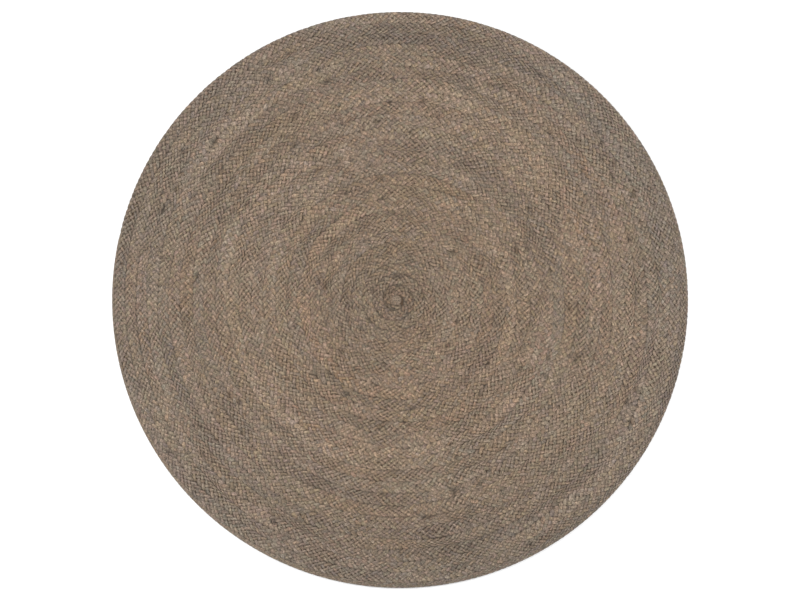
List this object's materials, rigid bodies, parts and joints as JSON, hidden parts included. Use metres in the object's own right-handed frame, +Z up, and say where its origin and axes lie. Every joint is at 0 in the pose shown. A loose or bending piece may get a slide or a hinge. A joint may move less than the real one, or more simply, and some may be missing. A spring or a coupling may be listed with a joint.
{
  "type": "round braided jute rug",
  "caption": "Round flat floor rug: one jute braid coiled from the middle outwards and sewn edge to edge, for laying on a floor.",
  "frame": {"origin": "centre of the rug's flat underside, where it lies on the floor", "axes": "+Z up out of the floor, +X to the right and +Y to the top of the picture, which looks straight down"},
  "size_m": [1.2, 1.2, 0.0095],
  "materials": {
    "jute_braid": "dry matt natural fibre in flat five-strand braid, grey-brown with golden and bluish-grey strands"
  },
  "bodies": {
    "root": {"braided_rug": "jute_braid"}
  },
  "joints": []
}
